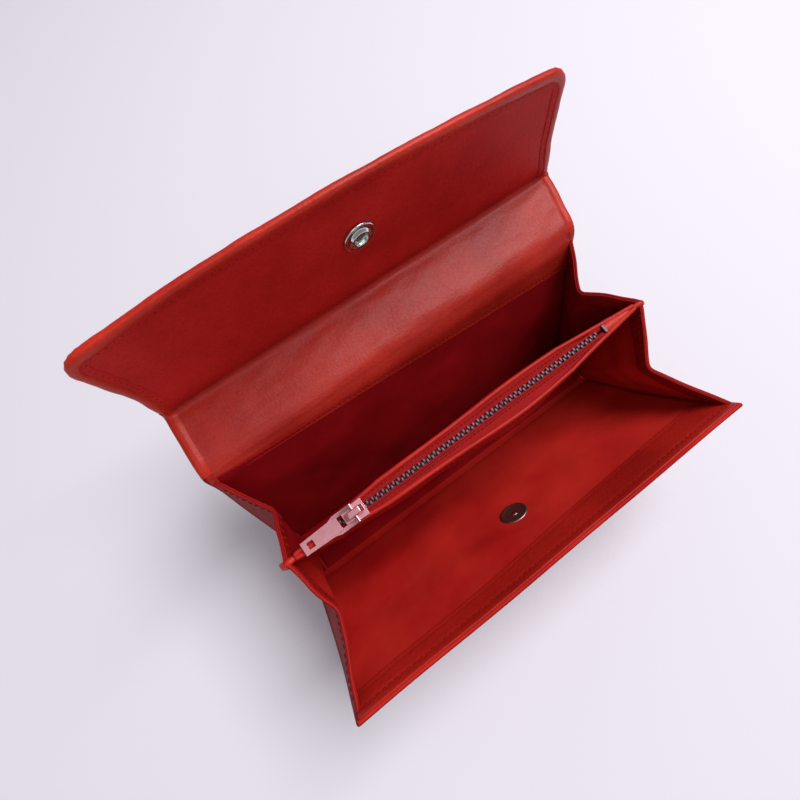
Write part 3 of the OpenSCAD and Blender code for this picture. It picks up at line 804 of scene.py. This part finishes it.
piece = Piece("front_hem_leather")
x = lines(-HALF_W + 2.2, HALF_W - 2.2, 1.5)[None, :]
top = 0.9
v = np.linspace(0, 1, 26)[:, None]
s = top + v * (hem_low(x) - top)
x = np.broadcast_to(x, s.shape)
press = 0.22 * bump(s, FRONT_STITCH_ROW, 0.9) + 0.12 * bump(s, hem_low(x) - 1.6, 0.8)
mid = shell_at(x, s, -HALF_T - 0.45 + press)
piece.sheet(mid, outward(x, s), 0.42, HEM, HEM, round_start=True, round_end=True)
xs = np.linspace(-HALF_W + 4, HALF_W - 4, 200)
seam = shell_at(xs, np.full_like(xs, FRONT_STITCH_ROW))
n = -outward(xs, np.full_like(xs, FRONT_STITCH_ROW))
piece.stitches(*evenly(seam + n * (HALF_T + 0.68), 2.6, n), THREAD)
piece.stitches(*evenly(seam - n * (HALF_T + 0.05), 2.6, -n), THREAD)
piece = piece.make()
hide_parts("front_facing")
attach(piece, "front_panel")

# The back lining uses the darker lining copy: painted shade of the back compartment.
piece = Piece("back_lining_shaded_cloth")
panel_sheet(piece, S_BACK + 4, lambda x: back_facing_low(x) + 2, HALF_W - 3.6, HALF_T + 0.3, 0.25,
            SHADED_LINING, 22, 1.0)
piece = piece.make()
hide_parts("back_lining")
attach(piece, "back_panel")

# The base lining uses the darker lining copy: painted shade at the bottom of the compartments.
piece = Piece("base_lining_cloth")
x = lines(-HALF_W + 9.5, HALF_W - 9.5, 2)[None, :]
y = np.linspace(-9.6, 9.6, 14)[:, None]
mid = np.stack(np.broadcast_arrays(x, y, 1.95 + 0.12 * ripple(x, y, 23, 14)), -1)
piece.sheet(mid, np.broadcast_to([0, 0, -1.0], mid.shape), 0.25, SHADED_LINING, SHADED_LINING, True, True)
piece = piece.make()
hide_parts("base_lining")
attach(piece, "base")


# ---------------------------------------------------------------- gussets

SIDE_X, SIDE_GAP = 90.0, 2.3
TAB_SIDE_X, TAB_SIDE_GAP = 88.0, 2.1
FOLD_X = {1: 79.2, -1: 79.6}
GUSSET_HALF_T = 0.6
HEM_DEPTH = 9.5


def gusset_half(side, which):
    """Builds the two walls of one half of a gusset. They follow one rounded line from the panel's side
    in to the fold and back out to the divider's tab; each wall takes its own half of that line."""
    is_front = which == "front"
    panel, edge_h, fold_h = (front, FRONT_H - 4.2, 73) if is_front else (back, 78.8, 72)
    gap = SIDE_GAP if is_front else -SIDE_GAP
    tab_gap = -TAB_SIDE_GAP if is_front else TAB_SIDE_GAP
    tab = Panel([side * SHIFT, 0, divider.foot[2]], DIVIDER_LEAN)
    v = np.linspace(0, 1, 60)
    panel_up = 1.5 + v * (edge_h - 1.5)
    tab_up = -1.5 + v * (DIVIDER_H - 0.9 + 1.5)
    belly = (-FRONT_BELLY * np.sin(np.pi * panel_up / FRONT_H) * 0.85) if is_front else 0
    a = panel.at(SIDE_X, gap + belly, panel_up)
    a_in = panel.at(SIDE_X + 1.4, gap * 0.25 + belly, panel_up)
    b = tab.at(TAB_SIDE_X, tab_gap * 0.75, tab_up)
    b_in = tab.at(TAB_SIDE_X + 0.8, 0 * v, tab_up)
    f_top = np.array([FOLD_X[side], (panel.at(0, gap, fold_h)[1] + tab.at(0, tab_gap, 70)[1]) / 2,
                      (panel.at(0, gap, fold_h)[2] + tab.at(0, tab_gap, 70)[2]) / 2])
    f_low = (a[0] + b[0]) / 2 - np.array([1.5, 0, 0])
    f = f_low + (f_top - f_low) * (v[:, None] ** 0.9)
    corners = np.stack([a_in, a, a + (f - a) * 0.5, f, b + (f - b) * 0.5, b, b_in], 1)
    breaks = [0, 2.2, 14, 26, 38, 50, 51.5]
    cols = np.concatenate([np.linspace(0, 26, 34), np.linspace(26, 51.5, 34)[1:]])
    weights = rounded_weights(breaks, cols, 1.9)
    mid = np.einsum("ck,vkd->vcd", weights, corners)
    across_share = np.sin(np.pi * np.clip(cols / 51.5, 0, 1))[None, :]
    out = grid_normals(mid, [1, 0, 0])
    crumple = (0.55 * ripple(cols[None, :] * 1.0, v[:, None] * 80, 30 + 2 * is_front + side, 26)
               + 0.8 * bump(cols[None, :], 14, 6) * np.sin(v[:, None] * 5 + side)
               - 0.7 * bump(cols[None, :], 38, 6) * np.sin(v[:, None] * 4 + 1))
    mid = mid + out * (crumple * across_share * smooth(v, 0.1, 0.5)[:, None])[..., None]
    out = grid_normals(mid, [1, 0, 0])
    flip = np.array([side, 1, 1])
    halves = {"outer": (slice(0, 34), panel), "inner": (slice(33, 67), tab)}
    for part, (take, owner) in halves.items():
        name = f"gusset_{'right' if side > 0 else 'left'}_{which}_{part}"
        piece = Piece(name + "_skin")
        m, n = mid[:, take] * flip, out[:, take] * flip
        # The back halves take the darker lining copy on their inner faces: painted shade.
        piece.sheet(m, n, GUSSET_HALF_T, LINING if is_front else SHADED_LINING, GUSSET, round_end=True)
        height = np.linalg.norm(mid[-1, take][:, None] - mid[0, take][:, None], axis=-1).mean()
        first = np.searchsorted(v, 1 - HEM_DEPTH / height)
        hem = m[first:] - n[first:] * (GUSSET_HALF_T + 0.2)
        piece.sheet(hem, n[first:], 0.32, GUSSET, GUSSET, True, True)
        trim = slice(3, -1) if part == "outer" else slice(1, -3)
        top_row = np.searchsorted(v, 1 - 3.0 / height)
        for row, face, lift in ((top_row, -1, 0.5), (top_row, 1, 0.04), (first + 2, -1, 0.5)):
            up = n[row, trim] * face
            piece.stitches(*evenly(m[row, trim] + up * (GUSSET_HALF_T + lift), 2.6, up), THREAD)
        piece = piece.make()
        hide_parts(name, f"gusset_lining_{'right' if side > 0 else 'left'}_{which}_{part}")
        low, high = owner.at(SIDE_X, 0, np.array([6.0, 34.0])) * flip
        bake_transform(piece)


for side in (1, -1):
    for which in ("front", "back"):
        gusset_half(side, which)

for side, label in ((1, "right"), (-1, "left")):
    piece = Piece(f"gusset_foot_{label}_skin")
    y = np.linspace(-9.5, 9.5, 30)[None, :]
    z = np.linspace(1.8, 9.5, 12)[:, None]
    bow = 85 + 2.5 * np.cos(y / 9.5 * math.pi / 2) * smooth(z, 2, 9) + 0.3 * ripple(y, z, 41, 9)
    mid = np.stack(np.broadcast_arrays(side * bow, y, z), -1)
    # The feet take the darker lining copy on their inner faces: painted shade.
    piece.sheet(mid, grid_normals(mid, [side, 0, 0]), 0.55, SHADED_LINING, GUSSET, True, True)
    piece = piece.make()
    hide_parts(f"gusset_foot_{label}")
    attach(piece, "base")


# ---------------------------------------------------------------- divider

def pocket_half(x, side=1):
    """Half thickness of the coin pocket at width x from its middle; the front side stands further out."""
    extra = 1.5 * bump(x, 14, 34) if side < 0 else 0
    return np.interp(np.abs(x), [0, 45, 68, 84, 93], [5.2, 5.2, 3.0, 1.35, 1.2]) + extra


def pocket_wall(side, name, node):
    """Leather wall of the coin pocket: it follows the pocket's plan, bellies outwards, and ends at the top
    in a turned edge as round as a cord."""
    x = lines(-84, 84, 1.5)[None, :]
    z = np.concatenate([np.linspace(3, 68, 40, endpoint=False), np.linspace(68, 73.4, 16)])[:, None]
    bead = smooth(z, 70.6, 72.0)
    half = 0.5 + 0.42 * bead + 0 * x
    waves = 0.3 * ripple(x, z, 51 + side, 34) * (1 - bead)
    belly = np.sin(np.pi * z / 76) * (1.2 * bump(x, 12, 60) + 0.4) + 2.2 * bump(x, 24, 26) * bump(z, 60, 15)
    sag = -0.5 * bump(x, 20, 40) * bead
    y = side * (pocket_half(x, side) - 0.75 + (belly + waves) * bump(x, 0, 75)) + 0 * z
    mid = divider.at(x + 0 * z, y, z + sag + 0.25 * ripple(x, 0 * x, 53 + side, 30) * bead)
    piece = Piece(name)
    n = grid_normals(mid, side * across(DIVIDER_LEAN))
    piece.sheet(mid, n, half, LINING, WALL, round_end=True)
    row = 42
    piece.stitches(*evenly(mid[row, 8:-8] + n[row, 8:-8] * 0.58, 2.5, n[row, 8:-8]), THREAD, 2.0, 0.24)
    piece = piece.make()
    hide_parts(node)
    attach(piece, "divider")


pocket_wall(-1, "pocket_front_leather", "pocket_wall_front")
pocket_wall(1, "pocket_back_leather", "pocket_wall_back")

piece = Piece("pocket_foot_leather")
x = np.linspace(-84, 84, 80)[:, None]
t = np.linspace(0, 2 * math.pi, 20, endpoint=False)
path = divider.at(x[:, 0], 0, 3.2)
ring = np.stack([np.outer(pocket_half(x[:, 0]) * 0.92, np.cos(t)),
                 np.broadcast_to(2.2 * np.sin(t), (80, 20))], -1)
piece.tube(path, np.broadcast_to(across(DIVIDER_LEAN), path.shape),
           np.broadcast_to(along(DIVIDER_LEAN), path.shape), ring, WALL)
piece = piece.make()
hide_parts("pocket_floor")
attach(piece, "divider")

piece = Piece("pocket_bag_cloth")
for side in (-1, 1):
    x = lines(-66, 66, 2.5)[None, :]
    z = np.linspace(5, 69, 30)[:, None]
    y = side * (pocket_half(x) - 1.9 + 0.2 * ripple(x, z, 55, 20))
    mid = divider.at(x + 0 * z, y, z + 0 * x)
    piece.sheet(mid, grid_normals(mid, side * across(DIVIDER_LEAN)), 0.22, LINING, LINING, True, True)
piece = piece.make()
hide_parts("pocket_lining")
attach(piece, "divider")

TAPE_Z = DIVIDER_H - 0.7
for side, label in ((-1, "front"), (1, "back")):
    piece = Piece(f"zip_tape_{label}_cloth")
    x = lines(-70, 70, 1.2)[:, None]
    v = np.linspace(0, 1, 12)[None, :]
    y = side * (0.75 + v * (pocket_half(x, side) - 0.75 - 0.75))
    z = TAPE_Z - 0.3 - 0.5 * np.sin(np.pi * v) + 0.10 * ripple(x, y, 57, 9)
    mid = divider.at(x + 0 * y, y, z)
    piece.sheet(mid, grid_normals(mid, -along(DIVIDER_LEAN)), 0.26, TAPE, TAPE)
    top = divider.at(x[:, 0], side * 3.0, TAPE_Z - 0.35)
    up = np.broadcast_to(along(DIVIDER_LEAN), top.shape)
    piece.stitches(*evenly(top[4:-4], 2.0, up[4:-4]), THREAD, 1.6, 0.2)
    piece = piece.make()
    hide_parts(f"zip_tape_{label}")
    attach(piece, "divider")

CHAIN_HALF, TOOTH_PITCH = 67.0, 2.4
tooth_count = int((2 * CHAIN_HALF - TOOTH_PITCH) / TOOTH_PITCH)
for side, label in ((-1, "front"), (1, "back")):
    piece = Piece(f"zip_teeth_{label}_row")
    lengthwise = np.array([-1, -0.55, 0.55, 1.0])
    outline = superellipse(0.58, 0.5, 2.4, 8)
    spread = np.array([0.7, 1.0, 1.0, 0.6])
    one = np.stack([np.outer(spread, outline[:, 0]).ravel(), np.repeat(lengthwise * 0.85, 8),
                    np.outer(spread, outline[:, 1]).ravel()], 1)
    first_x = -CHAIN_HALF + 1.1 + (TOOTH_PITCH / 2 if side > 0 else 0)
    place_x = first_x + TOOTH_PITCH * np.arange(tooth_count)
    local = one[None] * np.array([1, -side, 1]) + np.stack(
        [place_x, np.full(tooth_count, side * 0.42), np.full(tooth_count, TAPE_Z + 0.55)], 1)[:, None]
    points = divider.at(local[..., 0], local[..., 1], local[..., 2])
    steps = (np.arange(tooth_count) * 32)[:, None, None]
    faces = [(grid_faces(4, 8, wrap=True)[None] + steps).reshape(-1, 4),
             (np.array([np.arange(8), 24 + np.arange(8)])[None] + steps).reshape(-1, 8)]
    piece.add(points, faces, TEETH)
    x = np.linspace(-CHAIN_HALF, CHAIN_HALF, 120)
    cord = divider.at(x, side * 1.5, TAPE_Z + 0.1 + 0 * x)
    across_cord = np.broadcast_to(across(DIVIDER_LEAN), cord.shape)
    up_cord = np.broadcast_to(along(DIVIDER_LEAN), cord.shape)
    piece.tube(cord, across_cord, up_cord, superellipse(0.55, 0.5, 2, 8), TAPE)
    piece = piece.make(sharp=40)
    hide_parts(f"zip_teeth_{label}")
    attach(piece, "divider")

for side, label in ((1, "right"), (-1, "left")):
    piece = Piece(f"divider_end_{label}_leather")
    x = np.concatenate([np.linspace(66.5, 84, 22, endpoint=False), np.linspace(84, 91.6, 16)])[:, None]
    fall = 5 - np.sqrt(np.maximum(25 - np.clip(x - 86.6, 0, 4.99) ** 2, 0))
    top = 74.3 + 0.5 * bump(x, 70, 5) - 1.2 * bump(x, 84.5, 2.5) - 0.9 * fall
    v = np.linspace(0, 1, 46)[None, :]
    half = np.interp(x, [66, 72, 79, 84, 91.6], [3.3, 3.3, 2.1, 1.5, 1.3]) * (0.9 + 0.1 * v)
    half = half * (1 - 0.25 * bump(x, 84.5, 2.2) * smooth(v, 0.6, 1.0))
    z = 4 + v * (top - half - 4)
    y = 0.35 * ripple(x, z, 61 + side, 18) * smooth(x, 70, 84) + 0 * v
    mid = divider.at(side * x + 0 * v, y, z)
    piece.sheet(mid, np.broadcast_to(across(DIVIDER_LEAN), mid.shape), half, EDGE, EDGE, round_end=True)
    row = 20
    for face in (1, -1):
        n = face * across(DIVIDER_LEAN)
        seam = mid[row, 12:-3] + n * (half[row, 12:-3, None] + 0.02)
        piece.stitches(*evenly(seam, 2.5, np.broadcast_to(n, seam.shape)), THREAD)
    piece = piece.make()
    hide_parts(f"zip_end_{label}", f"divider_tab_{label}")
    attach(piece, "divider")


# ---------------------------------------------------------------- metal parts

def softened(node, name, finish, body, width):
    """The designed part with its meshes welded and its sharp edges rounded."""
    work = bmesh.new()
    work.from_mesh(frame["nodes"][node].data)
    bmesh.ops.remove_doubles(work, verts=work.verts, dist=1e-6)
    bmesh.ops.dissolve_limit(work, angle_limit=math.radians(1), verts=work.verts, edges=work.edges)
    bmesh.ops.recalc_face_normals(work, faces=work.faces)
    mesh = bpy.data.meshes.new(name)
    work.to_mesh(mesh)
    work.free()
    mesh.materials.clear()
    mesh.materials.append(finish)
    mesh.polygons.foreach_set("material_index", [0] * len(mesh.polygons))
    mesh.shade_smooth()
    mesh.set_sharp_from_angle(angle=math.radians(35))
    piece = bpy.data.objects.new(name, mesh)
    bpy.context.scene.collection.objects.link(piece)
    soften = piece.modifiers.new("edge", "BEVEL")
    soften.width, soften.segments, soften.limit_method = width, 3, "ANGLE"
    soften.angle_limit = math.radians(35)
    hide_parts(node)
    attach(piece, body)


softened("slider", "slider_plate_metal", SLIDER, "slider", 0.0002)
softened("slider_bridge", "slider_bridge_metal", SLIDER, "slider", 0.0003)
softened("puller", "puller_metal", SLIDER, "puller", 0.00025)
softened("zip_stops_left", "zip_stops_left_metal", TEETH, "divider", 0.0002)
softened("zip_stop_right", "zip_stop_right_metal", TEETH, "divider", 0.0002)

piece = Piece("snap_socket_metal")
centre = flap.at(0, -0.95, SNAP_FLAP).reshape(3)
piece.lathe([(0, 0.35), (0.5, 0.35), (2.3, 0.35), (2.55, 0.5), (2.6, 1.5), (2.8, 1.75), (3.2, 1.8),
             (3.6, 1.6), (3.9, 1.0), (4.4, 0.75), (5.2, 0.8), (5.8, 0.95), (6.1, 0.8), (6.25, 0.45),
             (6.1, 0.0), (5.5, -0.3), (0, -0.3)], centre, -across(FLAP_LEAN), SNAP)
piece = piece.make(sharp=60)
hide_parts("snap_socket")
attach(piece, "flap")

piece = Piece("snap_cap_metal")
centre = flap.at(0, 0.8, SNAP_FLAP).reshape(3)
piece.lathe([(0, 1.15), (0.8, 1.14), (2.2, 1.08), (3.8, 0.92), (5.0, 0.72), (5.8, 0.5), (6.15, 0.25),
             (6.2, 0.0), (5.8, -0.2), (0, -0.2)], centre, across(FLAP_LEAN), SNAP)
piece = piece.make(sharp=60)
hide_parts("snap_cap")
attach(piece, "flap")

belly_here = -FRONT_BELLY * math.sin(math.pi * SNAP_FRONT / FRONT_H)
piece = Piece("snap_post_metal")
centre = front.at(0, belly_here + 0.8 + 0.5, SNAP_FRONT).reshape(3)
piece.lathe([(0, 0.3), (0.6, 0.3), (1.2, 0.35), (1.5, 0.55), (1.9, 0.62), (3.2, 0.6), (4.6, 0.66),
             (5.2, 0.9), (5.8, 0.95), (6.15, 0.7), (6.25, 0.3), (6.1, -0.2), (0, -0.2)], centre,
             across(FRONT_LEAN), SNAP_DARK)
# A small dome of the bright snap metal at the post's middle: a painted highlight, the glint on the dark
# post.
piece.lathe([(0, 0.95), (0.9, 0.9), (1.5, 0.7), (1.7, 0.4), (0, 0.4)], centre, across(FRONT_LEAN), SNAP)
piece = piece.make(sharp=60)
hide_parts("snap_post")
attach(piece, "front_panel")

piece = Piece("snap_stud_metal")
centre = front.at(0, belly_here - 0.8, SNAP_FRONT).reshape(3)
piece.lathe([(0, 1.9), (0.9, 1.88), (1.6, 1.7), (2.05, 1.4), (2.1, 1.15), (1.75, 0.85), (1.8, 0.62),
             (2.4, 0.55), (4.6, 0.5), (5.5, 0.45), (6.0, 0.25), (6.05, 0.0), (5.8, -0.2), (0, -0.2)],
             centre, -across(FRONT_LEAN), SNAP)
piece = piece.make(sharp=60)
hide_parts("snap_stud")
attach(piece, "front_panel")


# ---------------------------------------------------------------- floor, light and camera

floor_mesh = bpy.data.meshes.new("floor")
floor_mesh.from_pydata([(-3, -3, 0), (3, -3, 0), (3, 3, 0), (-3, 3, 0)], [], [(0, 1, 2, 3)])
floor = bpy.data.objects.new("floor", floor_mesh)
bpy.context.scene.collection.objects.link(floor)
floor_finish = Finish("floor_paper")
floor_mesh.materials.append(floor_finish.set(Base_Color=(0.80, 0.78, 0.86), Roughness=0.95))

world = bpy.data.worlds.new("studio")
bpy.context.scene.world = world
world.use_nodes = True
world.node_tree.nodes["Background"].inputs[0].default_value = (0.96, 0.93, 0.98, 1.0)
world.node_tree.nodes["Background"].inputs[1].default_value = 0.25
bpy.context.scene.view_settings.view_transform = "Standard"
bpy.context.scene.view_settings.look = "None"


def soft_light(name, place, aim, size, power, colour):
    data = bpy.data.lights.new(name, "AREA")
    data.energy, data.size, data.color = power, size, colour
    lamp = bpy.data.objects.new(name, data)
    bpy.context.scene.collection.objects.link(lamp)
    direction = np.array(aim, float) - np.array(place, float)
    lamp.rotation_euler = Vector(direction).to_track_quat("-Z", "Y").to_euler()
    lamp.location = place


soft_light("key", (0.75, 0.02, 1.5), (0, 0, 0.05), 1.0, 25.5, (1.0, 0.98, 0.965))
soft_light("fill", (-0.5, -0.7, 1.5), (0, 0, 0.05), 1.2, 4.0, (0.97, 0.97, 1.0))

camera_data = bpy.data.cameras.new("camera")
camera_data.lens, camera_data.sensor_width, camera_data.clip_start = 21.4, 36.0, 0.01
camera = bpy.data.objects.new("camera", camera_data)
camera.location = (-0.0486, -0.0457, 0.2535)
camera.rotation_euler = (0.3734, 0.0511, -0.6322)
bpy.context.scene.collection.objects.link(camera)
bpy.context.scene.camera = camera
